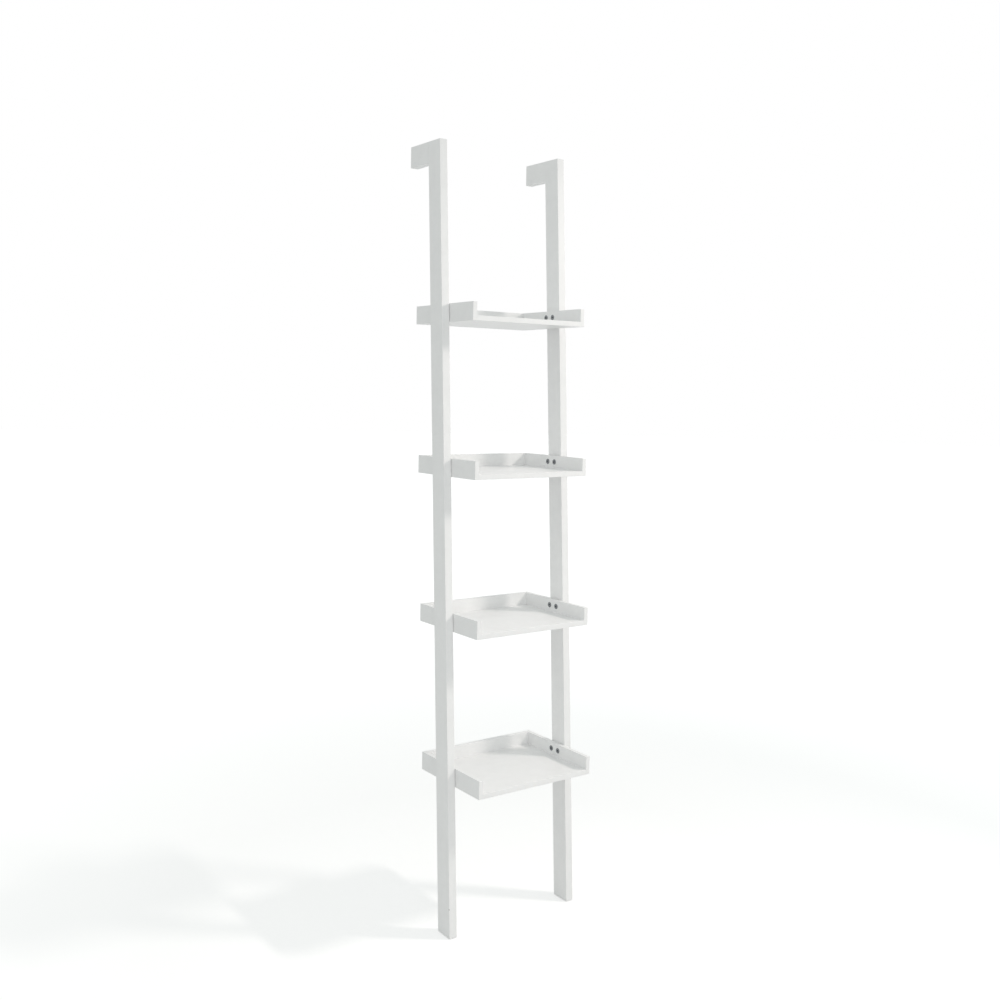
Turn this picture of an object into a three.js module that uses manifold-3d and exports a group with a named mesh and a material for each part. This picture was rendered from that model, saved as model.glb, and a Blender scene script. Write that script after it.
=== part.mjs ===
// Leaning ladder shelf: two uprights that lean back to a wall, an arm on top of each one that
// reaches the wall, and four level trays bolted between them.
// Millimetres. +X is the object's right, +Y points back to the wall and +Z points up.
// The origin is on the floor, under the middle of the bounding box.
import * as THREE from "three";
import { mergeVertices } from "three/addons/utils/BufferGeometryUtils.js";
import Module from "manifold-3d";

// ---- Driving dimensions ----

// Frame
const HEIGHT = 1850; // floor to the level top of the uprights and arms
const CLEAR_WIDTH = 326; // between the inner faces of the uprights
const LEAN = THREE.MathUtils.degToRad(3); // uprights from the vertical
const UPRIGHT_THICKNESS = 20; // across the shelf
const UPRIGHT_DEPTH = 50; // front to back, square to the lean
const ARM_HEIGHT = 50;
const WALL_GAP = 2; // from the back of the top tray to the wall that the arms touch

// Trays
const TRAY_COUNT = 4;
const LOWEST_TRAY = 347; // floor to the underside of the lowest tray
const TOP_REACH = 423; // underside of the top tray to the top of the uprights
const TRAY_DEPTH = 246;
const TRAY_HEIGHT = 43; // side and back boards, with the floor board's thickness
const FLOOR_BOARD = 12; // thickness of a tray's floor
const RIM_BOARD = 12; // thickness of its sides and back

// Bolts that clamp a tray's side to an upright, and the threaded inserts that they turn into
const BOLT_DIAMETER = 6;
const BOLT_GRIP = 8; // length of thread inside the insert
const BOLT_SPREAD = 0.52; // distance between a pair's axes, as a share of the upright's depth
const HEAD_DIAMETER = 13;
const HEAD_RIM = 0.5; // height of the head's straight edge
const HEAD_DOME = 0.4; // rise of the low dome over that edge
const HEAD_FLAT = 9.5; // diameter of the flat round the socket
const SOCKET_ACROSS_FLATS = 4;
const SOCKET_DEPTH = 2.2;
const INSERT_DIAMETER = 10;
const UPRIGHT_SKIN = 6; // wood left between an insert's hole and the outer face

// Dowels that pin an arm to its upright
const DOWEL_DIAMETER = 8;
const DOWEL_LENGTH = 50;
const DOWEL_ROOM = 1; // free length past each end of a dowel

// Clearances
const FIT = 0.3; // round a bolt, an insert or a dowel, on the radius
const GLUE_LINE = 0.2; // between an arm and its upright
const INSERT_ROOM = 1; // free depth behind an insert
const OVERCUT = 1; // how far a cutting tool stands out of the face that it enters
const CHAMFER = 0.8; // on the ends of bolts, inserts and dowels
const WELD = 1e-4; // corners closer than this are one corner

const ROUND_STEPS = 16; // facets round a bolt, an insert, a dowel and their holes
const DOME_STEPS = 2; // facets up a bolt's domed top
const SOCKET_SIDES = 6;

// ---- Derived places ----

const slope = Math.tan(LEAN);
const levelDepth = UPRIGHT_DEPTH / Math.cos(LEAN); // upright, front to back on a level cut
const trayPitch = (HEIGHT - LOWEST_TRAY - TOP_REACH) / (TRAY_COUNT - 1);
const trayBottom = (index) => LOWEST_TRAY + index * trayPitch;

// Distances behind the front bottom edge of the feet, at a height above the floor
const uprightFront = (z) => z * slope;
const uprightMiddle = (z) => z * slope + levelDepth / 2;
const uprightBack = (z) => z * slope + levelDepth;
const trayMiddle = (index) => uprightMiddle(trayBottom(index) + TRAY_HEIGHT / 2);
const frontEnd = Math.min(0, trayMiddle(0) - TRAY_DEPTH / 2);
const wall = trayMiddle(TRAY_COUNT - 1) + TRAY_DEPTH / 2 + WALL_GAP;

const insertLength = UPRIGHT_THICKNESS - UPRIGHT_SKIN - INSERT_ROOM;
const boltLength = RIM_BOARD + BOLT_GRIP;
const boltSpacing = BOLT_SPREAD * levelDepth;
const boltHeight = (FLOOR_BOARD + TRAY_HEIGHT) / 2; // middle of the rim above the tray's floor
const innerFace = CLEAR_WIDTH / 2; // of an upright, and the outer face of the trays

// ---- Materials ----

const finish = (color, roughness, metalness) =>
  new THREE.MeshStandardMaterial({ color, roughness, metalness });
const uprightPaint = finish(0xeeeeec, 0.45, 0);
const trayPaint = finish(0xf1f1ef, 0.42, 0);
const zincSteel = finish(0x55585b, 0.3, 1);
const castZinc = finish(0x8f9294, 0.45, 1);
const beech = finish(0xd2ab7c, 0.7, 0);

// ---- Solids: joining and cutting ----

const wasm = await Module();
wasm.setup();

function toSolid(geometry) {
  const bare = geometry.clone();
  bare.deleteAttribute("normal");
  bare.deleteAttribute("uv");
  const merged = mergeVertices(bare, WELD);
  return new wasm.Manifold(
    new wasm.Mesh({
      numProp: 3,
      vertProperties: new Float32Array(merged.attributes.position.array),
      triVerts: new Uint32Array(merged.index.array),
    }),
  );
}

function toGeometry(solid) {
  const mesh = solid.getMesh();
  const geometry = new THREE.BufferGeometry();
  geometry.setAttribute("position", new THREE.BufferAttribute(mesh.vertProperties, 3));
  geometry.setIndex(new THREE.BufferAttribute(mesh.triVerts, 1));
  const faceted = geometry.toNonIndexed();
  faceted.computeVertexNormals();
  return faceted;
}

function cut(blank, tools) {
  let solid = toSolid(blank);
  for (const tool of tools) solid = solid.subtract(toSolid(tool));
  return toGeometry(solid);
}

// ---- Basic shapes ----

// A board with a side outline of [y, z] points, from x to x + thickness.
function profileBoard(outline, x, thickness) {
  const shape = new THREE.Shape(outline.map(([y, z]) => new THREE.Vector2(y, z)));
  const geometry = new THREE.ExtrudeGeometry(shape, { depth: thickness, bevelEnabled: false });
  const sideways = new THREE.Matrix4().makeBasis(
    new THREE.Vector3(0, 1, 0),
    new THREE.Vector3(0, 0, 1),
    new THREE.Vector3(1, 0, 0),
  );
  return geometry.applyMatrix4(sideways).translate(x, 0, 0);
}

// A square board between two corners.
function board(low, high) {
  const size = high.map((value, i) => value - low[i]);
  const middle = high.map((value, i) => (value + low[i]) / 2);
  return new THREE.BoxGeometry(...size).translate(...middle);
}

// A round tool along X or Y that runs from start to end on that axis.
function roundTool(radius, along, start, end, centre) {
  const geometry = new THREE.CylinderGeometry(radius, radius, end - start, ROUND_STEPS);
  if (along === "x") geometry.rotateZ(-Math.PI / 2);
  const place = { ...centre, [along]: (start + end) / 2 };
  return geometry.translate(place.x, place.y, place.z);
}

// A turned pin on the Y axis, chamfered at both ends.
function turnedPin(radius, length) {
  const profile = [
    [0, 0],
    [radius - CHAMFER, 0],
    [radius, CHAMFER],
    [radius, length - CHAMFER],
    [radius - CHAMFER, length],
    [0, length],
  ];
  return new THREE.LatheGeometry(
    profile.map(([r, y]) => new THREE.Vector2(r, y)),
    ROUND_STEPS,
  );
}

// ---- Places that several pieces share ----

// Height and distance back of the two bolts of a tray's side.
function boltPlaces(index) {
  const z = trayBottom(index) + boltHeight;
  const y = uprightMiddle(z);
  return [
    { name: "front", y: y - boltSpacing / 2, z },
    { name: "rear", y: y + boltSpacing / 2, z },
  ];
}

// Heights of the two dowels of an arm, at the quarter points of its height.
const dowelPlaces = [
  { name: "upper", z: HEIGHT - ARM_HEIGHT / 4 },
  { name: "lower", z: HEIGHT - (3 * ARM_HEIGHT) / 4 },
];

// Holes for an arm's dowels, cut through the joint: both pieces are cut with the same tools.
function dowelHoles(x) {
  const half = DOWEL_LENGTH / 2 + DOWEL_ROOM;
  return dowelPlaces.map(({ z }) => {
    const joint = uprightBack(z);
    return roundTool(DOWEL_DIAMETER / 2 + FIT, "y", joint - half, joint + half, { x, z });
  });
}

// ---- Sub-parts: side is -1 on the left and 1 on the right ----

const uprightLow = (side) => side * innerFace - (side < 0 ? UPRIGHT_THICKNESS : 0);
const uprightCentre = (side) => side * (innerFace + UPRIGHT_THICKNESS / 2);

// A leaning board with a level foot and a level top, bored for the inserts and the dowels.
function upright(side) {
  const outline = [
    [uprightFront(0), 0],
    [uprightBack(0), 0],
    [uprightBack(HEIGHT), HEIGHT],
    [uprightFront(HEIGHT), HEIGHT],
  ];
  const mouth = side * (innerFace - OVERCUT);
  const bottom = side * (innerFace + insertLength + INSERT_ROOM);
  const insertHoles = [];
  for (let index = 0; index < TRAY_COUNT; index++)
    for (const { y, z } of boltPlaces(index))
      insertHoles.push(
        roundTool(
          INSERT_DIAMETER / 2 + FIT,
          "x",
          Math.min(mouth, bottom),
          Math.max(mouth, bottom),
          { y, z },
        ),
      );
  const blank = profileBoard(outline, uprightLow(side), UPRIGHT_THICKNESS);
  return cut(blank, [...insertHoles, ...dowelHoles(uprightCentre(side))]);
}

// A level board from the back of an upright to the wall, flush with the upright's top.
function arm(side) {
  const low = HEIGHT - ARM_HEIGHT;
  const outline = [
    [uprightBack(low) + GLUE_LINE, low],
    [wall, low],
    [wall, HEIGHT],
    [uprightBack(HEIGHT) + GLUE_LINE, HEIGHT],
  ];
  const blank = profileBoard(outline, uprightLow(side), UPRIGHT_THICKNESS);
  return cut(blank, dowelHoles(uprightCentre(side)));
}

// Between the sides, from the open front to the back board.
function trayFloor() {
  const half = innerFace - RIM_BOARD;
  return board([-half, -TRAY_DEPTH / 2, 0], [half, TRAY_DEPTH / 2 - RIM_BOARD, FLOOR_BOARD]);
}

// Full height, between the sides.
function trayBack() {
  const half = innerFace - RIM_BOARD;
  return board([-half, TRAY_DEPTH / 2 - RIM_BOARD, 0], [half, TRAY_DEPTH / 2, TRAY_HEIGHT]);
}

// Full height and depth, with a clearance hole for each bolt.
function traySide(side, index) {
  const inner = side * (innerFace - RIM_BOARD);
  const outer = side * innerFace;
  const low = Math.min(inner, outer);
  const high = Math.max(inner, outer);
  const holes = boltPlaces(index).map(({ y, z }) =>
    roundTool(BOLT_DIAMETER / 2 + FIT, "x", low - OVERCUT, high + OVERCUT, {
      y: y - trayMiddle(index),
      z: z - trayBottom(index),
    }),
  );
  return cut(board([low, -TRAY_DEPTH / 2, 0], [high, TRAY_DEPTH / 2, TRAY_HEIGHT]), holes);
}

// Thin head with a low dome and a hexagon socket. The shank points along +Y and starts at the
// head's seat.
function bolt() {
  const radius = BOLT_DIAMETER / 2;
  const profile = [
    [0, boltLength],
    [radius - CHAMFER, boltLength],
    [radius, boltLength - CHAMFER],
    [radius, 0],
    [HEAD_DIAMETER / 2, 0],
  ];
  for (let step = 0; step <= DOME_STEPS; step++) {
    const turn = ((step / DOME_STEPS) * Math.PI) / 2;
    const shoulder = ((HEAD_DIAMETER - HEAD_FLAT) / 2) * Math.cos(turn);
    profile.push([HEAD_FLAT / 2 + shoulder, -HEAD_RIM - HEAD_DOME * Math.sin(turn)]);
  }
  profile.push([0, -HEAD_RIM - HEAD_DOME]);
  const points = profile.map(([r, y]) => new THREE.Vector2(r, y)).reverse();
  const blank = new THREE.LatheGeometry(points, ROUND_STEPS);
  const corner = SOCKET_ACROSS_FLATS / 2 / Math.cos(Math.PI / SOCKET_SIDES);
  const reach = SOCKET_DEPTH + OVERCUT;
  const socket = new THREE.CylinderGeometry(corner, corner, reach, SOCKET_SIDES);
  socket.translate(0, -HEAD_RIM - HEAD_DOME + SOCKET_DEPTH - reach / 2, 0);
  return cut(blank, [socket]);
}

// A threaded sleeve, open at both ends, along +Y from its mouth.
function insert() {
  const outer = INSERT_DIAMETER / 2;
  const bore = BOLT_DIAMETER / 2 + FIT;
  const profile = [
    [bore, 0],
    [outer, 0],
    [outer, insertLength - CHAMFER],
    [outer - CHAMFER, insertLength],
    [bore, insertLength],
    [bore, 0],
  ];
  return new THREE.LatheGeometry(
    profile.map(([r, y]) => new THREE.Vector2(r, y)),
    ROUND_STEPS,
  );
}

// ---- Assembly ----

const shelf = new THREE.Group();
shelf.name = "ladder_shelf";
shelf.position.y = -(frontEnd + wall) / 2;

function addMesh(parent, name, geometry, material) {
  const mesh = new THREE.Mesh(geometry, material);
  mesh.name = name;
  parent.add(mesh);
  return mesh;
}

// Turns a pin or bolt made along +Y so that it points outwards through a side of the shelf.
const pointOutwards = (mesh, side) => {
  mesh.rotation.z = (-side * Math.PI) / 2;
};

function addUprights() {
  for (const [word, side] of [["left", -1], ["right", 1]]) {
    addMesh(shelf, `${word}_upright`, upright(side), uprightPaint);
    addMesh(shelf, `${word}_arm`, arm(side), uprightPaint);
    for (const { name, z } of dowelPlaces) {
      const geometry = turnedPin(DOWEL_DIAMETER / 2, DOWEL_LENGTH);
      const dowel = addMesh(shelf, `${word}_arm_dowel_${name}`, geometry, beech);
      dowel.position.set(uprightCentre(side), uprightBack(z) - DOWEL_LENGTH / 2, z);
    }
  }
}

// One tray, made round its own middle and set level on the uprights' centre line.
function addTray(index) {
  const tray = new THREE.Group();
  const label = `tray_${index + 1}`;
  tray.position.set(0, trayMiddle(index), trayBottom(index));
  addMesh(tray, `${label}_floor`, trayFloor(), trayPaint);
  addMesh(tray, `${label}_back`, trayBack(), trayPaint);
  for (const [word, side] of [["left", -1], ["right", 1]])
    addMesh(tray, `${label}_${word}_side`, traySide(side, index), trayPaint);
  shelf.add(tray);
}

// The bolts and inserts that hold one tray.
function addFasteners(index) {
  const label = `tray_${index + 1}`;
  for (const [word, side] of [["left", -1], ["right", 1]])
    for (const { name, y, z } of boltPlaces(index)) {
      const screw = addMesh(shelf, `${label}_${word}_bolt_${name}`, bolt(), zincSteel);
      screw.position.set(side * (innerFace - RIM_BOARD), y, z);
      pointOutwards(screw, side);
      const sleeve = addMesh(shelf, `${label}_${word}_insert_${name}`, insert(), castZinc);
      sleeve.position.set(side * innerFace, y, z);
      pointOutwards(sleeve, side);
    }
}

addUprights();
for (let index = 0; index < TRAY_COUNT; index++) {
  addTray(index);
  addFasteners(index);
}

export default shelf;
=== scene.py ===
"""Leaning ladder shelf: lacquered boards, turned fasteners and a white studio.

The packed model is the fixed frame. One operator sets the stage, and each of the others makes a
group of pieces in the places of the frame's own. Lengths are written in millimetres and turned
into metres; places are written in metres.
"""

import math

import bmesh
import bpy
from bpy.props import FloatProperty, FloatVectorProperty, IntProperty, PointerProperty
from mathutils import Euler, Matrix, Vector, noise


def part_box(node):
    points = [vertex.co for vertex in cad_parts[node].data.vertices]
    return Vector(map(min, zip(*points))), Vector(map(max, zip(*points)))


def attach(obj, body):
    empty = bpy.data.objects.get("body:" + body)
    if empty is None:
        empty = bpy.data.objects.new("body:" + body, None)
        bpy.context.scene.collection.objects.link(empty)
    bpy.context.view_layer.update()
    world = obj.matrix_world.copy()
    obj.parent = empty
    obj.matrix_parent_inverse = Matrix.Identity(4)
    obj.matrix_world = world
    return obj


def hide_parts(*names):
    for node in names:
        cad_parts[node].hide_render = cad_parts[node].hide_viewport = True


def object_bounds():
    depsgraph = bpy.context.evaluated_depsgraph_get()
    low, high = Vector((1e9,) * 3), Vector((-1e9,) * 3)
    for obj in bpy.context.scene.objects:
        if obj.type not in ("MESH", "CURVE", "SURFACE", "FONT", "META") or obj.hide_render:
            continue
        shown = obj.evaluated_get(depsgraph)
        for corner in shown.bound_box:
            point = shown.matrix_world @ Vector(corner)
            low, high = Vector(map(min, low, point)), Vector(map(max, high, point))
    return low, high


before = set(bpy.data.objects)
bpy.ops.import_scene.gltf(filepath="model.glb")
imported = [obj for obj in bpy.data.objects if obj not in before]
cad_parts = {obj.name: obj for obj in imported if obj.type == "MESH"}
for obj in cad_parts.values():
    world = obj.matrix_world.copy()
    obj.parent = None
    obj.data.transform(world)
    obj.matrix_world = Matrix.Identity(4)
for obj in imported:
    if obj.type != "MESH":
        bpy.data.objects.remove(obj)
cad_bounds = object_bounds()

bl_info = {
    "name": "Leaning Ladder Shelf",
    "version": (1, 0, 0),
    "blender": (4, 5, 0),
    "location": "3D View > Sidebar > Ladder Shelf",
    "description": "Lacquered boards, turned fasteners and studio of a leaning ladder shelf",
    "category": "Object",
}

MM = 0.001
SIDES = ("left", "right")
TRAYS = sorted(name[: -len("_floor")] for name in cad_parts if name.endswith("_floor"))
WELD = 0.01 * MM  # corners closer than this are one corner
TOUCH = 0.5 * MM  # boards closer than this meet in a joint
FLAT = math.radians(1)  # facets that turn less than this are one flat face
SHARP = math.radians(35)  # an edge that turns more than this stays crisp

# Lacquer: its gloss, the coat's cloudiness, and how far the sheen varies with that.
ACRYLIC_IOR = 1.49
CLOUD_SIZE = 40 * MM
CLOUD_TONES = (0.3, 0.7)  # where in the noise the darkest and the whitest tone are reached
SHEEN_SPREAD = (-0.05, 0.07)
GRAIN_STRETCH = 40  # a streak of grain is this many times as long as it is wide

# The chip, where the wood lies bare.
CHIP_FIBRE = 0.8 * MM
CHIP_ROUGH = 0.1 * MM  # depth of its fibres
CHIP_SHADE = 0.6  # how dark the darkest fibre is
CHIP_OFFSET = (-0.45, 0.25, 0)  # from the edge to the cutter's middle, in chip depths
LUMP_HEIGHT = 0.35  # of the cutter's lumps, in its radii
LUMP_RATE = 1.7  # lumps to each radius

# Beech: short dark flecks in paler wood.
FLECK_WIDTH = 0.5 * MM
FLECK_STRETCH = 16
FLECK_DEPTH = 0.05 * MM
FLECK_SHADE = 0.55
FLECK_TONES = (0.32, 0.5)

# Metal: how dark its grit is, next to the colour of the metal.
GRIT_SHADE = 0.8

RING_WELD = WELD / 5  # where two bands of a turned piece meet, ring on ring

# Rings of facets in the turned pieces.
BOLT_STEPS = 5  # to one turn of a bolt's thread
BITE_STEPS = 8  # to one turn of the insert's outer thread
BORE_STEPS = 4  # to one turn of the thread in its bore
DOME_STEPS = 8  # up the dome of a bolt's head
DOWEL_STEPS = 20  # along a dowel
FLUTE_STEPS = 4  # across one glue groove

# Floor: how far from the shelf its glow starts and stops growing, and how strong it is there.
GLOW_PLACES = (0.8, 3.0)
GLOW_LEVELS = (0.4, 0.62)
FLOOR_FACETS = 96


def srgb(code):
    """The linear red, green and blue of an sRGB colour written as hex, by the standard's curve."""
    parts = [int(code[i : i + 2], 16) / 255 for i in (0, 2, 4)]
    return [p / 12.92 if p <= 0.04045 else ((p + 0.055) / 1.055) ** 2.4 for p in parts]


def length(name, description, millimetres):
    """A property that holds a length, with its default in millimetres."""
    return FloatProperty(
        name=name,
        description=description,
        default=millimetres * MM,
        min=0,
        precision=5,
        unit="LENGTH",
    )


def colour(name, description, code):
    """A property that holds a colour, with its default as sRGB hex."""
    return FloatVectorProperty(
        name=name, description=description, default=srgb(code), min=0, max=1, subtype="COLOR"
    )


def angle(name, description, degrees):
    """A property that holds an angle, with its default in degrees."""
    return FloatProperty(
        name=name, description=description, default=math.radians(degrees), unit="ROTATION"
    )


# ---- Settings ----


class BoardSettings(bpy.types.PropertyGroup):
    """Sizes that the lacquered boards share."""

    edge_radius: length("Edge radius", "Rounding of an edge that a hand can reach", 0.6)
    joint_radius: length("Joint radius", "Rounding left where two boards meet", 0.01)
    stand_off: length("Stand-off", "Gap that the lacquer leaves between tray and upright", 1.0)
    edge_steps: IntProperty(
        name="Edge steps", description="Facets round an edge", default=3, min=1, max=8
    )
    chip_height: length("Chip height", "Floor to the chip in the left upright's edge", 68)
    chip_length: length("Chip length", "Length of the chip along the edge", 4.6)
    chip_depth: length("Chip depth", "How far the chip reaches in from the edge", 1.7)


class LacquerSettings(bpy.types.PropertyGroup):
    """Colours and texture of the sprayed lacquer."""

    upright_white: colour("Upright white", "Lacquer on the uprights and arms", "F6F6F6")
    tray_white: colour("Tray white", "Lacquer on the trays", "F6F6F6")
    shade: FloatProperty(
        name="Shade", description="How far the mottling darkens the white", default=0.05,
        min=0, max=1, subtype="FACTOR",
    )
    roughness: FloatProperty(
        name="Roughness", description="Of satin lacquer", default=0.4, min=0, max=1,
        subtype="FACTOR",
    )
    peel_size: length("Orange peel", "Distance between the bumps that spraying leaves", 2.8)
    peel_depth: length("Peel depth", "Height of those bumps", 0.03)
    grain_width: length("Grain width", "Width of the wood's grain under the lacquer", 0.9)
    grain_depth: length("Grain depth", "How deep that grain still shows", 0.01)
    wood: colour("Bare wood", "Wood that shows in the chip", "BDBAB4")


class FastenerSettings(bpy.types.PropertyGroup):
    """Finishes of the bolts, inserts and dowels, and the sizes that the frame doesn't give."""

    rim_height: length("Rim height", "Straight edge of a bolt's head", 0.5)
    dome_flat: length("Dome flat", "Diameter of the flat on top of a bolt's head", 9.5)
    socket_width: length("Socket width", "Hexagon socket, across its flats", 4)
    socket_depth: length("Socket depth", "Depth of the hexagon socket", 2.2)
    shank_diameter: length("Shank diameter", "Of a bolt, over its thread", 6)
    thread_pitch: length("Thread pitch", "Of a bolt and the bore of its insert", 1)
    thread_depth: length("Thread depth", "Of a bolt", 0.55)
    insert_bore: length("Insert bore", "Diameter of the insert's threaded bore", 6.6)
    insert_pitch: length("Insert pitch", "Of the coarse thread that bites the wood", 2.6)
    insert_depth: length("Insert thread depth", "Depth of that coarse thread", 0.8)
    flute_depth: length("Flute depth", "Glue grooves along a dowel", 0.3)
    chamfer: length("Chamfer", "On the ends of bolts, inserts and dowels", 0.8)
    flutes: IntProperty(
        name="Flutes", description="Glue grooves round a dowel", default=12, min=0, max=24
    )
    around: IntProperty(
        name="Steps round", description="Facets round a turned piece", default=36, min=12, max=96
    )
    seed: IntProperty(
        name="Seed", description="How far each fastener happened to turn", default=7, min=0
    )
    plated: colour("Plated steel", "Zinc plating on the bolts", "909396")
    cast: colour("Cast zinc", "Bare alloy of the inserts", "9B9EA0")
    beech: colour("Beech", "Bare wood of the dowels", "D6B083")


class StudioSettings(bpy.types.PropertyGroup):
    """Camera, lights and floor."""

    camera_place: FloatVectorProperty(
        name="Camera", description="Where the camera stands",
        default=(-1.5572, -2.1666, 1.2689), subtype="TRANSLATION", unit="LENGTH",
    )
    camera_turn: angle("Turn", "Camera, from straight back towards the right", 35.473)
    camera_tilt: angle("Tilt", "Camera, above the horizon", -2.540)
    camera_roll: angle("Roll", "Camera, round its own line of sight", 1.044)
    lens: FloatProperty(name="Lens", description="Focal length in mm", default=39.788, min=1)
    lens_rise: FloatProperty(name="Rise", description="Vertical lens shift", default=-0.06)
    key_place: FloatVectorProperty(
        name="Key light", description="Where the key light hangs",
        default=(1.59, -1.24, 2.20), subtype="TRANSLATION", unit="LENGTH",
    )
    key_length: length("Key length", "Length of the strip light, front to back", 420)
    key_width: length("Key width", "Width of the strip light", 100)
    key_power: FloatProperty(name="Key power", description="In watts", default=8.2, min=0)
    key_spread: angle("Key spread", "Opening of the grid in front of the strip light", 95)
    key_aim: FloatVectorProperty(
        name="Key aim", description="The point that the strip light faces",
        default=(-0.65, -0.6, 0.35), subtype="TRANSLATION", unit="LENGTH",
    )
    key_colour: colour("Key colour", "Slightly warm", "FFF7F2")
    fill_place: FloatVectorProperty(
        name="Fill light", description="Where the fill light stands",
        default=(-1.8, -4.4, 1.0), subtype="TRANSLATION", unit="LENGTH",
    )
    fill_size: length("Fill size", "Diameter of the round fill light", 2500)
    fill_power: FloatProperty(name="Fill power", description="In watts", default=23.3, min=0)
    sky_colour: colour("Sky colour", "Light from all round", "FAFEFC")
    sky_level: FloatProperty(
        name="Sky level", description="Strength of the light from all round", default=0.68, min=0
    )
    floor_radius: length("Floor radius", "Of the round floor", 30000)
    floor_gap: length("Floor gap", "Between the feet and the floor", 1.2)
    floor_white: colour("Floor white", "Matt paint of the floor", "E0E0E0")


GROUPS = {
    "ladder_boards": BoardSettings,
    "ladder_lacquer": LacquerSettings,
    "ladder_fasteners": FastenerSettings,
    "ladder_studio": StudioSettings,
}


# ---- Nodes and materials ----


def add_node(tree, kind, inputs=None, **settings):
    """Adds a node with its settings. An input is a value, an output, or a node's first output."""
    node = tree.nodes.new(kind)
    for name, value in settings.items():
        setattr(node, name, value)
    for key, value in (inputs or {}).items():
        if isinstance(value, bpy.types.Node):
            tree.links.new(value.outputs[0], node.inputs[key])
        elif isinstance(value, bpy.types.NodeSocket):
            tree.links.new(value, node.inputs[key])
        else:
            node.inputs[key].default_value = value
    return node


def new_material(name):
    """An empty material, its tree, and the place on the piece that its patterns follow."""
    material = bpy.data.materials.new(name)
    material.use_nodes = True
    tree = material.node_tree
    tree.nodes.clear()
    return material, tree, add_node(tree, "ShaderNodeTexCoord").outputs["Object"]


def satin_lacquer(name, white, grain_scale):
    """Acrylic lacquer, sprayed in several coats on sanded board and cured to satin.

    The eye sees an even, neutral white with a soft sheen. Close up there is a fine orange peel
    from the spray gun, a faint cloudiness where coats vary, and on solid wood a breath of the
    grain. grain_scale stretches the grain along the board; None is for board with no grain.
    """
    settings = bpy.context.scene.ladder_lacquer
    material, tree, place = new_material(name)
    # A new coat is hardly cloudy: the patches are drawn a little stronger, so that they show.
    clouds = add_node(
        tree, "ShaderNodeTexNoise",
        {"Vector": place, "Scale": 1 / CLOUD_SIZE, "Detail": 6, "Roughness": 0.72},
    )
    tint = add_node(tree, "ShaderNodeValToRGB", {"Fac": clouds})
    darker = [c * (1 - settings.shade) for c in white]
    for stop, position, tone in zip(tint.color_ramp.elements, CLOUD_TONES, (darker, white)):
        stop.position = position
        stop.color = (*tone, 1)
    low, high = (settings.roughness + spread for spread in SHEEN_SPREAD)
    sheen = add_node(tree, "ShaderNodeMapRange", {"Value": clouds, "To Min": low, "To Max": high})
    # Real orange peel is finer and only a few microns high: it is drawn coarser and deeper.
    peel = add_node(
        tree, "ShaderNodeTexNoise",
        {"Vector": place, "Scale": 1 / settings.peel_size, "Detail": 2, "Roughness": 0.5},
    )
    bump = add_node(
        tree, "ShaderNodeBump", {"Height": peel, "Distance": settings.peel_depth, "Strength": 1}
    )
    if grain_scale:
        along = add_node(tree, "ShaderNodeMapping", {"Vector": place, "Scale": grain_scale})
        grain = add_node(
            tree, "ShaderNodeTexNoise",
            {"Vector": along, "Scale": 1 / settings.grain_width, "Detail": 3, "Roughness": 0.6},
        )
        bump = add_node(
            tree, "ShaderNodeBump",
            {"Height": grain, "Distance": settings.grain_depth, "Strength": 1, "Normal": bump},
        )
    shader = add_node(
        tree, "ShaderNodeBsdfPrincipled",
        {"Base Color": tint, "Roughness": sheen, "Normal": bump, "IOR": ACRYLIC_IOR},
    )
    add_node(tree, "ShaderNodeOutputMaterial", {"Surface": shader})
    return material


def chipped_wood():
    """Wood and primer laid bare where the lacquer has chipped off.

    The eye sees a small rough dent, greyer and duller than the coat round it.
    """
    wood = bpy.context.scene.ladder_lacquer.wood
    material, tree, place = new_material("Chipped primer and wood")
    fibres = add_node(
        tree, "ShaderNodeTexNoise", {"Vector": place, "Scale": 1 / CHIP_FIBRE, "Detail": 4}
    )
    tint = add_node(tree, "ShaderNodeValToRGB", {"Fac": fibres})
    tint.color_ramp.elements[0].color = (*[c * CHIP_SHADE for c in wood], 1)
    tint.color_ramp.elements[1].color = (*wood, 1)
    bump = add_node(tree, "ShaderNodeBump", {"Height": fibres, "Distance": CHIP_ROUGH})
    shader = add_node(
        tree, "ShaderNodeBsdfPrincipled", {"Base Color": tint, "Roughness": 0.85, "Normal": bump}
    )
    add_node(tree, "ShaderNodeOutputMaterial", {"Surface": shader})
    return material


def rough_metal(name, base, roughness, spread, grit, depth):
    """A metal whose polish varies by the spread, from place to place.

    Real grit is a few hundredths of a millimetre across: it is drawn coarser, so that it shows.
    """
    material, tree, place = new_material(name)
    grains = add_node(tree, "ShaderNodeTexNoise", {"Vector": place, "Scale": 1 / grit, "Detail": 4})
    tint = add_node(tree, "ShaderNodeValToRGB", {"Fac": grains})
    tint.color_ramp.elements[0].color = (*[c * GRIT_SHADE for c in base], 1)
    tint.color_ramp.elements[1].color = (*base, 1)
    polish = add_node(
        tree, "ShaderNodeMapRange",
        {"Value": grains, "To Min": roughness - spread, "To Max": roughness + spread},
    )
    bump = add_node(tree, "ShaderNodeBump", {"Height": grains, "Distance": depth})
    shader = add_node(
        tree, "ShaderNodeBsdfPrincipled",
        {"Base Color": tint, "Metallic": 1, "Roughness": polish, "Normal": bump},
    )
    add_node(tree, "ShaderNodeOutputMaterial", {"Surface": shader})
    return material


def zinc_plate(base):
    """Steel, cold formed and zinc plated.

    The eye sees a cool grey gloss that mirrors the white room, a little clouded by its grit.
    """
    return rough_metal(
        "Zinc plate on steel", base, roughness=0.2, spread=0.05, grit=0.5 * MM, depth=0.01 * MM
    )


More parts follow.
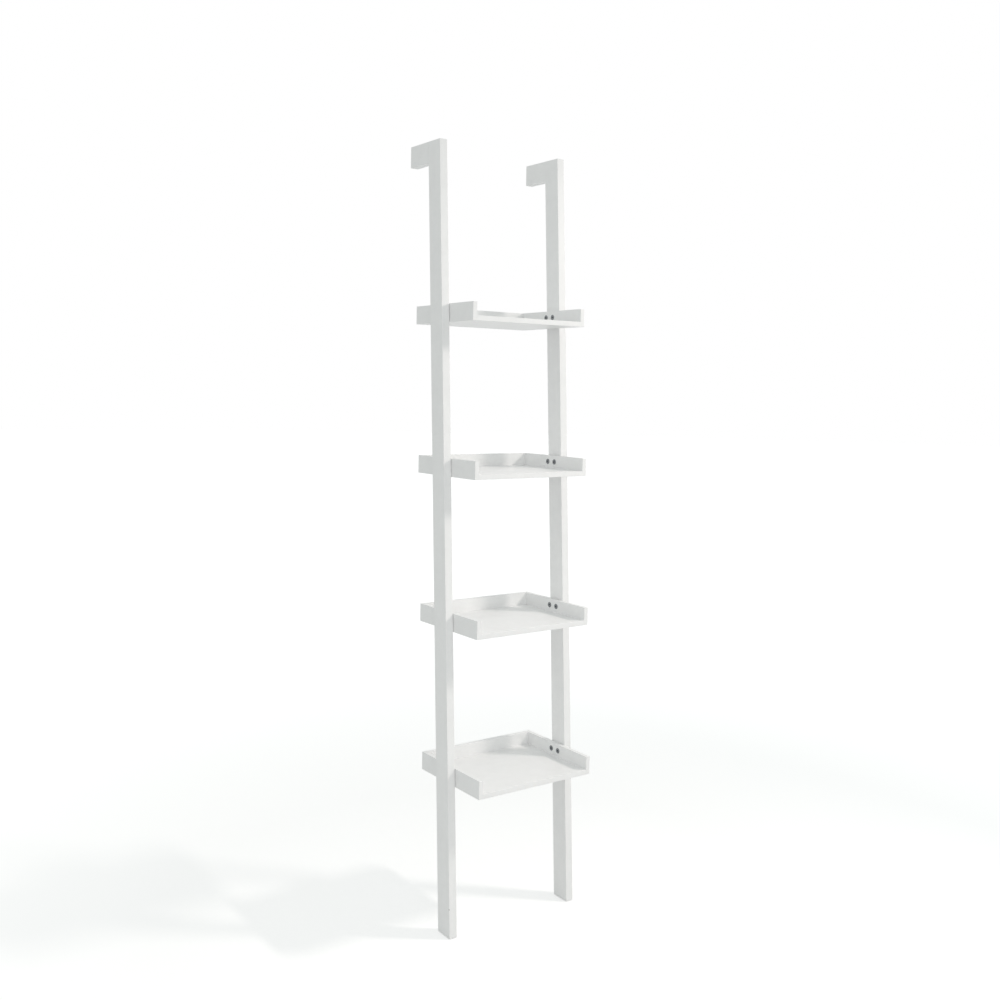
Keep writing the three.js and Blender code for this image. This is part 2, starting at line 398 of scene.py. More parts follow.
def cast_zinc(base):
    """Zinc alloy, die-cast and left bare.

    The eye sees a flat grey with a grainy skin, duller than the plated bolts.
    """
    return rough_metal(
        "Die-cast zinc alloy", base, roughness=0.45, spread=0.08, grit=0.4 * MM, depth=0.02 * MM
    )


def turned_beech():
    """Beech rod, turned and left bare.

    The eye sees pale pinkish wood with short dark flecks along the rod, dry and dull.
    """
    beech = bpy.context.scene.ladder_fasteners.beech
    material, tree, place = new_material("Turned beech, bare")
    along = add_node(
        tree, "ShaderNodeMapping", {"Vector": place, "Scale": (1, 1 / FLECK_STRETCH, 1)}
    )
    fibres = add_node(
        tree, "ShaderNodeTexNoise", {"Vector": along, "Scale": 1 / FLECK_WIDTH, "Detail": 4}
    )
    tint = add_node(tree, "ShaderNodeValToRGB", {"Fac": fibres})
    darker = [c * FLECK_SHADE for c in beech]
    for stop, position, tone in zip(tint.color_ramp.elements, FLECK_TONES, (darker, beech)):
        stop.position = position
        stop.color = (*tone, 1)
    bump = add_node(tree, "ShaderNodeBump", {"Height": fibres, "Distance": FLECK_DEPTH})
    shader = add_node(
        tree, "ShaderNodeBsdfPrincipled", {"Base Color": tint, "Roughness": 0.7, "Normal": bump}
    )
    add_node(tree, "ShaderNodeOutputMaterial", {"Surface": shader})
    return material


# ---- Meshes ----


def new_object(name, data):
    """A named object for a mesh, a lamp or a lens, at the origin, in the scene."""
    made = bpy.data.objects.new(name, data)
    bpy.context.scene.collection.objects.link(made)
    return made


def settle(made):
    """Turns an object's modifiers into a plain mesh and removes them."""
    bpy.context.view_layer.update()
    shown = made.evaluated_get(bpy.context.evaluated_depsgraph_get())
    mesh = bpy.data.meshes.new_from_object(shown)
    made.modifiers.clear()
    made.data = mesh
    mesh.name = made.name


def finish_piece(piece, slot, *nodes):
    """Hands a finished piece over, in place of its CAD nodes."""
    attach(piece, "root")
    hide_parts(*nodes)


def is_outside(face, corners):
    """True where the whole board lies on or behind the face's plane. No wall of a hole does."""
    middle = face.calc_center_median()
    return all((c - middle).dot(face.normal) < WELD for c in corners)


def in_joint(point, neighbours):
    """True where another board touches this point."""
    for low, high in (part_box(n) for n in neighbours):
        if all(low[i] - TOUCH < point[i] < high[i] + TOUCH for i in range(3)):
            return True
    return False


def board_mesh(node, cuts):
    """A CAD board with its loose triangles merged, and its long edges split at each cut plane."""
    board = bmesh.new()
    board.from_mesh(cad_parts[node].data)
    bmesh.ops.remove_doubles(board, verts=board.verts, dist=WELD)
    bmesh.ops.dissolve_limit(board, angle_limit=FLAT, verts=board.verts, edges=board.edges)
    for place, normal in cuts:
        everything = board.verts[:] + board.edges[:] + board.faces[:]
        bmesh.ops.bisect_plane(board, geom=everything, plane_co=place, plane_no=normal)
    return board


def weigh_edges(board, neighbours, joint_share):
    """Marks what the edge rounding takes: outer edges in full, edges in a joint only a little."""
    weight = board.edges.layers.float.new("bevel_weight_edge")
    corners = [v.co.copy() for v in board.verts]
    outside = {f: is_outside(f, corners) for f in board.faces}
    for edge in board.edges:
        turn = edge.calc_face_angle(0)
        if turn < FLAT:
            continue
        if all(outside[f] for f in edge.link_faces):
            middle = (edge.verts[0].co + edge.verts[1].co) / 2
            edge[weight] = joint_share if in_joint(middle, neighbours) else 1
        else:
            edge.smooth = False
    for face in board.faces:
        face.smooth = True


def lacquered_board(node, material, slot, neighbours, cuts=(), fit=None, carve=None):
    """One board in the place of its CAD node, with rounded and lacquered edges.

    cuts are planes that split its edges, fit moves its corners before the edges are rounded, and
    carve cuts it afterwards.
    """
    settings = bpy.context.scene.ladder_boards
    board = board_mesh(node, cuts)
    if fit:
        fit(board)
    weigh_edges(board, neighbours, settings.joint_radius / settings.edge_radius)
    mesh = bpy.data.meshes.new(node + "_board")
    board.to_mesh(mesh)
    board.free()
    piece = new_object(node + "_board", mesh)
    mesh.materials.append(material)
    rounding = piece.modifiers.new("Rounded edges", "BEVEL")
    rounding.limit_method = "WEIGHT"
    rounding.width = settings.edge_radius
    rounding.segments = settings.edge_steps
    rounding.use_clamp_overlap = True
    if carve:
        carve(piece)
    shading = piece.modifiers.new("Flat faces", "WEIGHTED_NORMAL")
    shading.keep_sharp = True
    settle(piece)
    finish_piece(piece, slot, node)


# ---- Uprights and arms ----


def close_glue_line(arm, upright):
    """Brings an arm's front face up to its upright: glue and lacquer fill the gap between them."""
    joint_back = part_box(upright)[1].y
    front = min(arm.faces, key=lambda f: f.normal.y)
    flat = math.cos(FLAT)
    on_joint = {v for f in arm.faces if f.normal.dot(front.normal) > flat for v in f.verts}
    gap = max(on_joint, key=lambda v: v.co.y).co.y - joint_back
    for corner in on_joint:
        corner.co.y -= gap


def chip_cutter(place, material):
    """An uneven pebble that cuts the chip out. It reaches the chip's depth to each side."""
    settings = bpy.context.scene.ladder_boards
    pebble = bmesh.new()
    bmesh.ops.create_icosphere(pebble, subdivisions=3, radius=1)
    size = Vector((settings.chip_depth, settings.chip_depth, settings.chip_length / 2))
    for corner in pebble.verts:
        lump = 1 + LUMP_HEIGHT * noise.noise(corner.co * LUMP_RATE)
        corner.co = place + corner.co * size * lump
    mesh = bpy.data.meshes.new("chip_cutter")
    pebble.to_mesh(mesh)
    pebble.free()
    mesh.materials.append(material)
    return new_object("chip_cutter", mesh)


def carve_chip(piece):
    """Takes the chip out of the left upright's front outer edge, near the foot."""
    settings = bpy.context.scene.ladder_boards
    low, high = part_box("left_upright")
    foot = [v.co.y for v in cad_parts["left_upright"].data.vertices if v.co.z < low.z + WELD]
    # The front edge leans back evenly, by this much for each metre of height.
    slope = (high.y - low.y - (max(foot) - min(foot))) / (high.z - low.z)
    height = settings.chip_height
    edge = Vector((low.x, low.y + slope * height, height))
    cutter = chip_cutter(edge + Vector(CHIP_OFFSET) * settings.chip_depth, chipped_wood())
    carving = piece.modifiers.new("Chip", "BOOLEAN")
    carving.operation = "DIFFERENCE"
    carving.solver = "EXACT"
    carving.material_mode = "TRANSFER"
    carving.object = cutter
    settle(piece)
    bpy.data.objects.remove(cutter)


class LADDER_OT_uprights(bpy.types.Operator):
    """Makes the two uprights, with the chip in the left one's front edge"""

    bl_idname = "ladder.uprights"
    bl_label = "Uprights"

    def execute(self, context):
        settings = context.scene.ladder_lacquer
        along_z = (1, 1, 1 / GRAIN_STRETCH)
        material = satin_lacquer("Satin lacquer on upright wood", settings.upright_white, along_z)
        for side in SIDES:
            arm = f"{side}_arm"
            # The back edges are rounded in full only up to the arm.
            lacquered_board(
                f"{side}_upright",
                material,
                "upright_paint",
                neighbours=[arm],
                cuts=[(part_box(arm)[0], (0, 0, 1))],
                carve=carve_chip if side == "left" else None,
            )
        return {"FINISHED"}


class LADDER_OT_arms(bpy.types.Operator):
    """Makes the two arms that reach back to the wall"""

    bl_idname = "ladder.arms"
    bl_label = "Arms"

    def execute(self, context):
        settings = context.scene.ladder_lacquer
        along_y = (1, 1 / GRAIN_STRETCH, 1)
        material = satin_lacquer("Satin lacquer on arm wood", settings.upright_white, along_y)
        for side in SIDES:
            upright = f"{side}_upright"
            lacquered_board(
                f"{side}_arm",
                material,
                "upright_paint",
                neighbours=[upright],
                fit=lambda arm: close_glue_line(arm, upright),
            )
        return {"FINISHED"}


# ---- Trays ----


def stand_off(side_board):
    """Sets the outer face of a tray's side in from the upright, which leaves a dark line."""
    gap = bpy.context.scene.ladder_boards.stand_off
    outermost = max(abs(corner.co.x) for corner in side_board.verts)
    for corner in side_board.verts:
        if abs(corner.co.x) > outermost - WELD:
            corner.co.x -= math.copysign(gap, corner.co.x)


class LADDER_OT_trays(bpy.types.Operator):
    """Makes the floor, back and two sides of each tray"""

    bl_idname = "ladder.trays"
    bl_label = "Trays"

    def execute(self, context):
        settings = context.scene.ladder_lacquer
        material = satin_lacquer("Satin lacquer on tray fibreboard", settings.tray_white, None)
        for tray in TRAYS:
            boards = [f"{tray}_{part}" for part in ("floor", "back", "left_side", "right_side")]
            # A side's inner edges run past the floor and the back: only what is free is rounded.
            above_floor = (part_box(f"{tray}_floor")[1], (0, 0, 1))
            before_back = (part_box(f"{tray}_back")[0], (0, 1, 0))
            for board in boards:
                is_side = board.endswith("side")
                lacquered_board(
                    board,
                    material,
                    "tray_paint",
                    neighbours=[b for b in boards if b != board],
                    cuts=[above_floor, before_back] if is_side else [],
                    fit=stand_off if is_side else None,
                )
        return {"FINISHED"}


# ---- Turned pieces: geometry nodes ----


def new_tree(name, sizes):
    """A geometry tree with named inputs, given as name to socket type, and its input sockets."""
    tree = bpy.data.node_groups.new(name, "GeometryNodeTree")
    for label, kind in sizes.items():
        tree.interface.new_socket(name=label, in_out="INPUT", socket_type="NodeSocket" + kind)
    tree.interface.new_socket(name="Geometry", in_out="OUTPUT", socket_type="NodeSocketGeometry")
    return tree, tree.nodes.new("NodeGroupInput").outputs


def turned_band():
    """One band of a turned piece: a strip swept round Z from a start ring to an end ring.

    Flats 1 makes a ring a hexagon, Round 1 swells the strip as a quarter ellipse, and Relief
    waves it inwards: Starts counts the waves round, and Rate how many pass per metre of height.
    """
    sizes = {
        "Around": "Int", "Along": "Int",
        "Start Radius": "Float", "Start Height": "Float", "Start Flats": "Float",
        "End Radius": "Float", "End Height": "Float", "End Flats": "Float",
        "Round": "Float", "Relief": "Float", "Starts": "Float", "Rate": "Float",
    }
    tree, given = new_tree("Turned band", sizes)

    columns = add_node(tree, "ShaderNodeMath", {0: given["Around"], 1: 1.0})
    rows = add_node(tree, "ShaderNodeMath", {0: given["Along"], 1: 1.0})
    grid = add_node(
        tree, "GeometryNodeMeshGrid",
        {"Size X": 1.0, "Size Y": 1.0, "Vertices X": columns, "Vertices Y": rows},
    )
    place = add_node(tree, "GeometryNodeInputPosition")
    parts = add_node(tree, "ShaderNodeSeparateXYZ", {"Vector": place}).outputs
    turn = add_node(tree, "ShaderNodeMath", {0: parts["X"], 1: 0.5})
    rise = add_node(tree, "ShaderNodeMath", {0: parts["Y"], 1: 0.5})
    angle_round = add_node(tree, "ShaderNodeMath", {0: turn, 1: math.tau}, operation="MULTIPLY")

    # A hexagon's ring stands out towards its corners.
    sector = math.pi / 3
    past = add_node(tree, "ShaderNodeMath", {0: angle_round, 1: sector}, operation="FLOORED_MODULO")
    from_flat = add_node(tree, "ShaderNodeMath", {0: past, 1: sector / 2}, operation="SUBTRACT")
    inwards = add_node(tree, "ShaderNodeMath", {0: from_flat}, operation="COSINE")
    to_corner = add_node(tree, "ShaderNodeMath", {0: 1.0, 1: inwards}, operation="DIVIDE")
    rings = []
    for end in ("Start", "End"):
        reach = add_node(
            tree, "ShaderNodeMix",
            {"Factor": given[end + " Flats"], "A": 1.0, "B": to_corner}, clamp_factor=False,
        )
        rings.append(add_node(
            tree, "ShaderNodeMath", {0: given[end + " Radius"], 1: reach}, operation="MULTIPLY"
        ))

    # A rounded strip goes out as a sine while it goes up as one less a cosine.
    quarter = add_node(tree, "ShaderNodeMath", {0: rise, 1: math.pi / 2}, operation="MULTIPLY")
    sine = add_node(tree, "ShaderNodeMath", {0: quarter}, operation="SINE")
    cosine = add_node(tree, "ShaderNodeMath", {0: quarter}, operation="COSINE")
    lift = add_node(tree, "ShaderNodeMath", {0: 1.0, 1: cosine}, operation="SUBTRACT")
    share_out = add_node(tree, "ShaderNodeMix", {"Factor": given["Round"], "A": rise, "B": sine})
    share_up = add_node(tree, "ShaderNodeMix", {"Factor": given["Round"], "A": rise, "B": lift})
    radius = add_node(tree, "ShaderNodeMix", {"Factor": share_out, "A": rings[0], "B": rings[1]})
    height = add_node(
        tree, "ShaderNodeMix",
        {"Factor": share_up, "A": given["Start Height"], "B": given["End Height"]},
    )

    # Waves wind round and up. They fade out over the first and last tenth of the band, so that
    # its rings stay true.
    to_end = add_node(tree, "ShaderNodeMath", {0: 1.0, 1: rise}, operation="SUBTRACT")
    nearest = add_node(tree, "ShaderNodeMath", {0: rise, 1: to_end}, operation="MINIMUM")
    fade = add_node(tree, "ShaderNodeMapRange", {"Value": nearest, "From Max": 0.1})
    round_waves = add_node(
        tree, "ShaderNodeMath", {0: given["Starts"], 1: turn}, operation="MULTIPLY"
    )
    up_waves = add_node(tree, "ShaderNodeMath", {0: given["Rate"], 1: height}, operation="MULTIPLY")
    waves = add_node(tree, "ShaderNodeMath", {0: round_waves, 1: up_waves}, operation="SUBTRACT")
    phase = add_node(tree, "ShaderNodeMath", {0: waves, 1: math.tau}, operation="MULTIPLY")
    crest = add_node(tree, "ShaderNodeMath", {0: phase}, operation="COSINE")
    # 0 on a crest and 1 in a trough.
    trough = add_node(tree, "ShaderNodeMath", {0: crest, 1: -0.5, 2: 0.5}, operation="MULTIPLY_ADD")
    shallow = add_node(tree, "ShaderNodeMath", {0: trough, 1: fade}, operation="MULTIPLY")
    relief = add_node(
        tree, "ShaderNodeMath", {0: shallow, 1: given["Relief"]}, operation="MULTIPLY"
    )
    skin = add_node(tree, "ShaderNodeMath", {0: radius, 1: relief}, operation="SUBTRACT")

    across = add_node(tree, "ShaderNodeMath", {0: angle_round}, operation="COSINE")
    aside = add_node(tree, "ShaderNodeMath", {0: angle_round}, operation="SINE")
    x = add_node(tree, "ShaderNodeMath", {0: skin, 1: across}, operation="MULTIPLY")
    y = add_node(tree, "ShaderNodeMath", {0: skin, 1: aside}, operation="MULTIPLY")
    ring = add_node(tree, "ShaderNodeCombineXYZ", {"X": x, "Y": y, "Z": height})
    swept = add_node(tree, "GeometryNodeSetPosition", {"Geometry": grid, "Position": ring})
    add_node(tree, "NodeGroupOutput", {"Geometry": swept})
    return tree


# A plain strip between two round rings.
BAND_DEFAULTS = {
    "Start Flats": 0.0, "End Flats": 0.0, "Round": 0.0, "Relief": 0.0, "Starts": 0.0, "Rate": 0.0,
    "Along": 1,
}


def turned_tree(name, sizes, profile):
    """A tree that turns one piece from a profile and sets a copy at each point it is given.

    profile lists the rings as (radius, height, options for the band that leads up to the ring).
    The names in it are inputs of the tree. Each point's axis attribute says where the piece points.
    """
    shared = {"Points": "Geometry", "Around": "Int", "Seed": "Int", "Material": "Material"}
    measured = {label: "Float" for label in sizes if label not in shared}
    band = turned_band()
    tree, given = new_tree(name, shared | measured)

    def value(term):
        """The input of that name, or the number itself."""
        return given[term] if isinstance(term, str) else term

    join = add_node(tree, "GeometryNodeJoinGeometry")
    for (radius, height, _), (next_radius, next_height, options) in zip(profile, profile[1:]):
        rings = {
            "Around": given["Around"],
            "Start Radius": value(radius),
            "Start Height": value(height),
            "End Radius": value(next_radius),
            "End Height": value(next_height),
        }
        inputs = BAND_DEFAULTS | rings | {key: value(term) for key, term in options.items()}
        strip = add_node(tree, "GeometryNodeGroup", inputs, node_tree=band)
        tree.links.new(strip.outputs["Geometry"], join.inputs["Geometry"])

    closed = add_node(
        tree, "GeometryNodeMergeByDistance", {"Geometry": join, "Distance": RING_WELD}
    )
    bend = add_node(tree, "GeometryNodeInputMeshEdgeAngle").outputs["Unsigned Angle"]
    crisp = add_node(tree, "FunctionNodeCompare", {0: bend, 1: SHARP}, operation="GREATER_THAN")
    shaded = add_node(
        tree, "GeometryNodeSetShadeSmooth",
        {"Geometry": closed, "Selection": crisp, "Shade Smooth": False}, domain="EDGE",
    )
    axis = add_node(
        tree, "GeometryNodeInputNamedAttribute", {"Name": "axis"}, data_type="FLOAT_VECTOR"
    ).outputs["Attribute"]
    facing = add_node(tree, "FunctionNodeAlignRotationToVector", {"Vector": axis}, axis="Z")
    copies = add_node(
        tree, "GeometryNodeInstanceOnPoints",
        {"Points": given["Points"], "Instance": shaded, "Rotation": facing},
    )
    # Each one stopped turning at its own angle.
    stop = add_node(
        tree, "FunctionNodeRandomValue",
        {"Min": (0, 0, 0), "Max": (0, 0, math.tau), "Seed": given["Seed"]},
        data_type="FLOAT_VECTOR",
    ).outputs["Value"]
    turned = add_node(
        tree, "GeometryNodeRotateInstances",
        {"Instances": copies, "Rotation": stop, "Local Space": True},
    )
    real = add_node(tree, "GeometryNodeRealizeInstances", {"Geometry": turned})
    finished = add_node(
        tree, "GeometryNodeSetMaterial", {"Geometry": real, "Material": given["Material"]}
    )
    add_node(tree, "NodeGroupOutput", {"Geometry": finished})
    return tree


def place_turned(name, tree, places, sizes):
    """Runs a turned tree on points, each with the axis that its copy points along."""
    mesh = bpy.data.meshes.new(name)
    mesh.from_pydata([place for place, _ in places], [], [])
    axis = mesh.attributes.new("axis", "FLOAT_VECTOR", "POINT")
    for item, (_, direction) in zip(axis.data, places):
        item.vector = direction
    piece = new_object(name, mesh)
    modifier = piece.modifiers.new(name, "NODES")
    modifier.node_group = tree
    # A modifier's inputs go by their sockets' identifiers.
    for socket in tree.interface.items_tree:
        if socket.in_out == "INPUT" and socket.name in sizes:
            modifier[socket.identifier] = sizes[socket.name]
    settle(piece)
    piece.data.materials.clear()
    piece.data.materials.append(sizes["Material"])
    return piece


def fastener_nodes(word):
    """The frame's nodes of one kind of fastener, in order."""
    return sorted(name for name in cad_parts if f"_{word}_" in name)


def side_places(nodes, start=None):
    """Each node's place, at start or else at its inner end, and its direction: out to its side."""
    places = []
    for node in nodes:
        low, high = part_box(node)
        middle = (low + high) / 2
        outwards = Vector((math.copysign(1, middle.x), 0, 0))
        inner = min(abs(low.x), abs(high.x)) if start is None else start
        places.append((Vector((outwards.x * inner, middle.y, middle.z)), outwards))
    return places


class LADDER_OT_bolts(bpy.types.Operator):
    """Turns the domed bolts that clamp the trays to the uprights"""

    bl_idname = "ladder.bolts"
    bl_label = "Bolts"

    def execute(self, context):
        settings = context.scene.ladder_fasteners
        nodes = fastener_nodes("bolt")
        low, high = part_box(nodes[0])
        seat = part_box("tray_1_right_side")[0].x  # inner face of a tray's side, where heads rest
        head = seat - min(abs(low.x), abs(high.x))
        span = high.x - low.x
        sizes = {
            "Around": settings.around,
            "Seed": settings.seed,
            "Material": zinc_plate(settings.plated),
            "Head Top": -head,
            "Rim Top": -settings.rim_height,
            "Socket Floor": settings.socket_depth - head,
            "Socket Radius": settings.socket_width / 2,
            "Flat Radius": settings.dome_flat / 2,
            "Head Radius": (high.z - low.z) / 2,
            "Shank Radius": settings.shank_diameter / 2,
            "Thread Start": 2 * settings.thread_pitch,  # two turns' length stays plain
            "Thread End": span - head - settings.chamfer,
            "Thread Depth": settings.thread_depth,
            "Thread Rate": 1 / settings.thread_pitch,
            "Tip": span - head,
            "Tip Radius": settings.shank_diameter / 2 - settings.chamfer,
        }
        turns = (sizes["Thread End"] - sizes["Thread Start"]) / settings.thread_pitch
        thread = {
            "Along": BOLT_STEPS * round(turns),
            "Relief": "Thread Depth", "Rate": "Thread Rate", "Starts": 1.0,
        }
        profile = [
            (0.0, "Socket Floor", {}),
            ("Socket Radius", "Socket Floor", {"Start Flats": 1.0, "End Flats": 1.0}),
            ("Socket Radius", "Head Top", {"Start Flats": 1.0, "End Flats": 1.0}),
            ("Flat Radius", "Head Top", {"Start Flats": 1.0}),
            ("Head Radius", "Rim Top", {"Round": 1.0, "Along": DOME_STEPS}),
            ("Head Radius", 0.0, {}),
            ("Shank Radius", 0.0, {}),
            ("Shank Radius", "Thread Start", {}),
            ("Shank Radius", "Thread End", thread),
            ("Tip Radius", "Tip", {}),
            (0.0, "Tip", {}),
        ]
        tree = turned_tree("Domed bolt", sizes, profile)
        piece = place_turned("tray_bolts", tree, side_places(nodes, seat), sizes)
        finish_piece(piece, "zinc_bolt", *nodes)
        return {"FINISHED"}


class LADDER_OT_inserts(bpy.types.Operator):
    """Turns the threaded inserts in the uprights"""

    bl_idname = "ladder.inserts"
    bl_label = "Inserts"

    def execute(self, context):
        settings = context.scene.ladder_fasteners
        nodes = fastener_nodes("insert")
        low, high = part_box(nodes[0])
        depth = high.x - low.x
        radius = (high.z - low.z) / 2
        sizes = {
            "Around": settings.around,
            "Seed": settings.seed,
            "Material": cast_zinc(settings.cast),
            "Bore Radius": settings.insert_bore / 2,
            "Outer Radius": radius,
            "Taper Start": depth - settings.chamfer,
            "Taper Radius": radius - settings.chamfer,
            "Depth": depth,
            "Bite Depth": settings.insert_depth,
            "Bite Rate": 1 / settings.insert_pitch,
            "Thread Depth": settings.thread_depth / 2,  # clear of the bolt's own thread
            "Thread Rate": 1 / settings.thread_pitch,
        }
        bite = {
            "Along": BITE_STEPS * round(depth / settings.insert_pitch),
            "Relief": "Bite Depth", "Rate": "Bite Rate", "Starts": 1.0,
        }
        bore = {
            "Along": BORE_STEPS * round(depth / settings.thread_pitch),
            "Relief": "Thread Depth", "Rate": "Thread Rate", "Starts": 1.0,
        }
        profile = [
            ("Bore Radius", 0.0, {}),
            ("Outer Radius", 0.0, {}),
            ("Outer Radius", "Taper Start", bite),
            ("Taper Radius", "Depth", {}),
            ("Bore Radius", "Depth", {}),
            ("Bore Radius", 0.0, bore),
        ]
        tree = turned_tree("Threaded insert", sizes, profile)
        piece = place_turned("threaded_inserts", tree, side_places(nodes), sizes)
        finish_piece(piece, "zinc_insert", *nodes)
        return {"FINISHED"}


class LADDER_OT_dowels(bpy.types.Operator):
    """Turns the fluted dowels that pin the arms to the uprights"""

    bl_idname = "ladder.dowels"
    bl_label = "Dowels"

    def execute(self, context):
        settings = context.scene.ladder_fasteners
        nodes = fastener_nodes("dowel")
        low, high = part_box(nodes[0])
        span = high.y - low.y
        radius = (high.z - low.z) / 2
        sizes = {
            "Around": FLUTE_STEPS * settings.flutes,
            "Seed": settings.seed,
            "Material": turned_beech(),
            "Radius": radius,
            "End Radius": radius - settings.chamfer,
            "Body Start": settings.chamfer,
            "Body End": span - settings.chamfer,
            "Span": span,
            "Flute Depth": settings.flute_depth,
            "Flutes": float(settings.flutes),
        }
        body = {"Along": DOWEL_STEPS, "Relief": "Flute Depth", "Starts": "Flutes"}
        profile = [
            (0.0, 0.0, {}),
            ("End Radius", 0.0, {}),
            ("Radius", "Body Start", {}),
            ("Radius", "Body End", body),
            ("End Radius", "Span", {}),
            (0.0, "Span", {}),
        ]
        tree = turned_tree("Fluted dowel", sizes, profile)
        places = []
        for node in nodes:
            lowest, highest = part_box(node)
            middle = (lowest + highest) / 2
            places.append((Vector((middle.x, lowest.y, middle.z)), Vector((0, 1, 0))))
        piece = place_turned("arm_dowels", tree, places, sizes)
        finish_piece(piece, "beech_dowel", *nodes)
        return {"FINISHED"}


# ---- Stage ----


def seen_directly(tree):
    """1 for rays that show the background to the eye, a mirror or glass, and 0 for light."""
    path = add_node(tree, "ShaderNodeLightPath").outputs
    mirrored = add_node(
        tree, "ShaderNodeMath",
        {0: path["Is Glossy Ray"], 1: path["Is Transmission Ray"]}, operation="MAXIMUM",
    )
    return add_node(
        tree, "ShaderNodeMath", {0: path["Is Camera Ray"], 1: mirrored}, operation="MAXIMUM"
    )


def studio_world(settings):
    """Even light from all round, with plain white for the eye to see."""
    world = bpy.data.worlds.new("Studio")
    world.use_nodes = True
    tree = world.node_tree
    tree.nodes.clear()
    light = add_node(
        tree, "ShaderNodeBackground",
        {"Color": (*settings.sky_colour, 1), "Strength": settings.sky_level},
    )
    white = add_node(tree, "ShaderNodeBackground", {"Color": (1, 1, 1, 1), "Strength": 1.0})
    mixed = add_node(tree, "ShaderNodeMixShader", {"Fac": seen_directly(tree), 1: light, 2: white})
    add_node(tree, "ShaderNodeOutputWorld", {"Surface": mixed})
    return world


def floor_paint(settings):
    """Matt white floor paint that fades into the white behind it.

    The eye sees white with the shelf's soft shadow on it. The glow that makes it white grows
    with the distance from the shelf, where the key light no longer reaches.
    """
    material, tree, place = new_material("Matt white floor paint")
    distance = add_node(
        tree, "ShaderNodeVectorMath", {0: place}, operation="LENGTH"
    ).outputs["Value"]
    near, far = GLOW_PLACES
    weak, strong = GLOW_LEVELS
    glow = add_node(
        tree, "ShaderNodeMapRange",
        {"Value": distance, "From Min": near, "From Max": far, "To Min": weak, "To Max": strong},
    )
    strength = add_node(
        tree, "ShaderNodeMath", {0: glow, 1: seen_directly(tree)}, operation="MULTIPLY"
    )
    paint = add_node(tree, "ShaderNodeBsdfDiffuse", {"Color": (*settings.floor_white, 1)})
    light = add_node(tree, "ShaderNodeEmission", {"Color": (1, 1, 1, 1), "Strength": strength})
    both = add_node(tree, "ShaderNodeAddShader", {0: paint, 1: light})
    add_node(tree, "ShaderNodeOutputMaterial", {"Surface": both})
    return material


def studio_floor(settings):
    """A round floor just under the feet."""
    disc = bmesh.new()
    bmesh.ops.create_circle(
        disc, cap_ends=True, segments=FLOOR_FACETS, radius=settings.floor_radius
    )
    bmesh.ops.translate(disc, verts=disc.verts, vec=(0, 0, cad_bounds[0].z - settings.floor_gap))
    mesh = bpy.data.meshes.new("studio_floor")
    disc.to_mesh(mesh)
    disc.free()
    mesh.materials.append(floor_paint(settings))
    new_object("studio_floor", mesh)


def area_light(name, place, aim, power, size, width):
    """An area lamp at a place, turned to face another, with its length front to back."""
    lamp = bpy.data.lights.new(name, "AREA")
    lamp.shape = "ELLIPSE"
    lamp.size = width
    lamp.size_y = size
    lamp.energy = power
    made = new_object(name, lamp)
    made.location = place
    backwards = (made.location - aim).normalized()
    along = Vector((0, 1, 0)).cross(backwards).cross(backwards).normalized()
    across = along.cross(backwards)
    made.rotation_euler = Matrix((across, along, backwards)).transposed().to_euler()
    return lamp


def camera(settings):
    """The camera, on the left in front."""
    lens = bpy.data.cameras.new("camera")
    lens.lens = settings.lens
    lens.shift_y = settings.lens_rise
    made = new_object("camera", lens)
    level = Euler((math.pi / 2 + settings.camera_tilt, 0, -settings.camera_turn)).to_matrix()
    roll = Matrix.Rotation(settings.camera_roll, 3, "Z")
    made.rotation_euler = (level @ roll).to_euler()
    made.location = settings.camera_place
    bpy.context.scene.camera = made


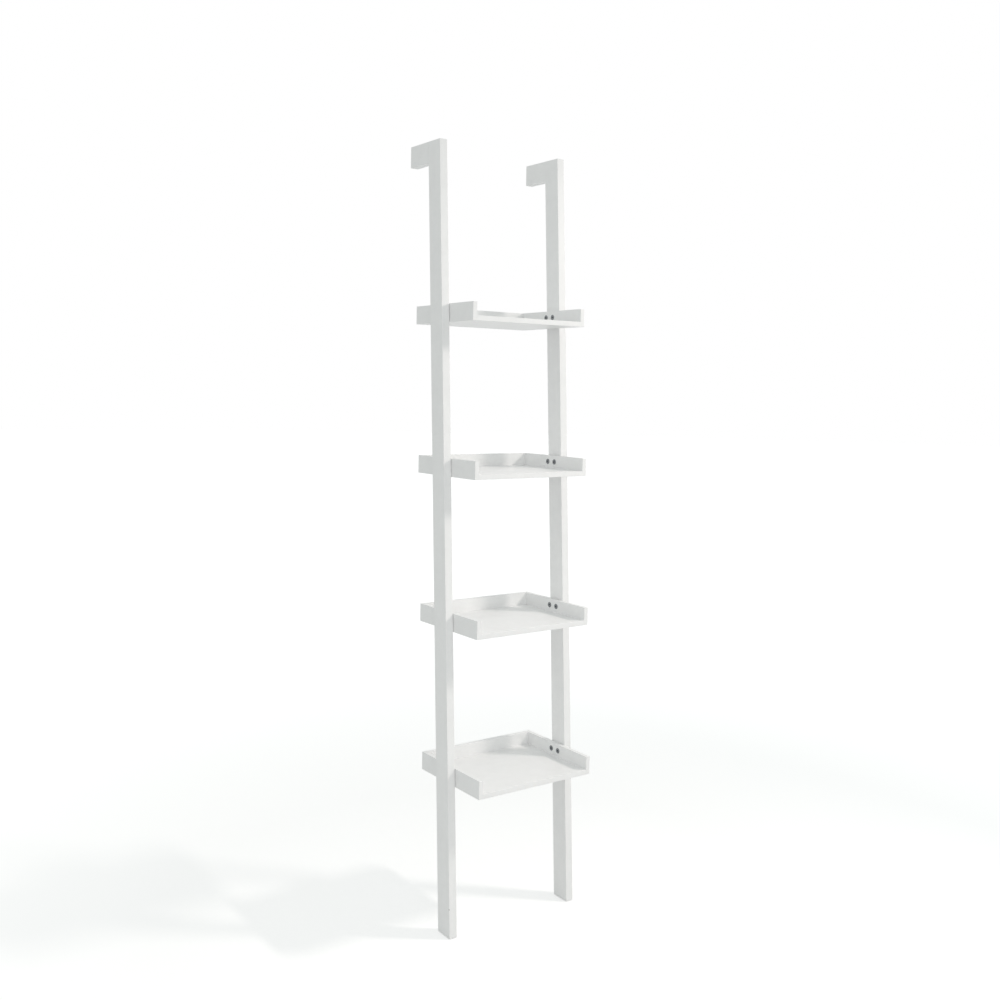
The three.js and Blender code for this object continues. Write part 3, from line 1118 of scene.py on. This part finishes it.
class LADDER_OT_stage(bpy.types.Operator):
    """Sets the camera, the lights and the floor"""

    bl_idname = "ladder.stage"
    bl_label = "Stage"

    def execute(self, context):
        settings = context.scene.ladder_studio
        camera(settings)
        middle = (cad_bounds[0] + cad_bounds[1]) / 2
        # The key light is aimed low, so that the top, which is nearer, is not much brighter.
        key = area_light(
            "key_light", settings.key_place, Vector(settings.key_aim),
            settings.key_power, settings.key_length, settings.key_width,
        )
        key.color = settings.key_colour
        key.spread = settings.key_spread
        area_light(
            "fill_light", settings.fill_place, middle,
            settings.fill_power, settings.fill_size, settings.fill_size,
        )
        studio_floor(settings)
        context.scene.world = studio_world(settings)
        context.scene.view_settings.view_transform = "Standard"
        return {"FINISHED"}


# ---- Add-on ----

OPERATORS = (
    LADDER_OT_stage,
    LADDER_OT_uprights,
    LADDER_OT_arms,
    LADDER_OT_trays,
    LADDER_OT_bolts,
    LADDER_OT_inserts,
    LADDER_OT_dowels,
)


class LADDER_PT_shelf(bpy.types.Panel):
    """Lists the shelf's operators and settings in the sidebar"""

    bl_idname = "LADDER_PT_shelf"
    bl_label = "Ladder Shelf"
    bl_space_type = "VIEW_3D"
    bl_region_type = "UI"
    bl_category = "Ladder Shelf"

    def draw(self, context):
        for operator in OPERATORS:
            self.layout.operator(operator.bl_idname)
        for name, group in GROUPS.items():
            box = self.layout.box()
            box.label(text=group.__doc__)
            for field in group.__annotations__:
                box.prop(getattr(context.scene, name), field)


def register():
    """Adds the settings, the operators and the panel to Blender."""
    for group in GROUPS.values():
        bpy.utils.register_class(group)
    for name, group in GROUPS.items():
        setattr(bpy.types.Scene, name, PointerProperty(type=group))
    for made in (*OPERATORS, LADDER_PT_shelf):
        bpy.utils.register_class(made)


def unregister():
    """Takes them out again, the other way round."""
    for made in (LADDER_PT_shelf, *reversed(OPERATORS)):
        bpy.utils.unregister_class(made)
    for name, group in reversed(GROUPS.items()):
        delattr(bpy.types.Scene, name)
        bpy.utils.unregister_class(group)


def main():
    """Makes the stage and every piece."""
    register()
    for operator in OPERATORS:
        group, name = operator.bl_idname.split(".")
        getattr(getattr(bpy.ops, group), name)()


if __name__ == "__main__":
    main()
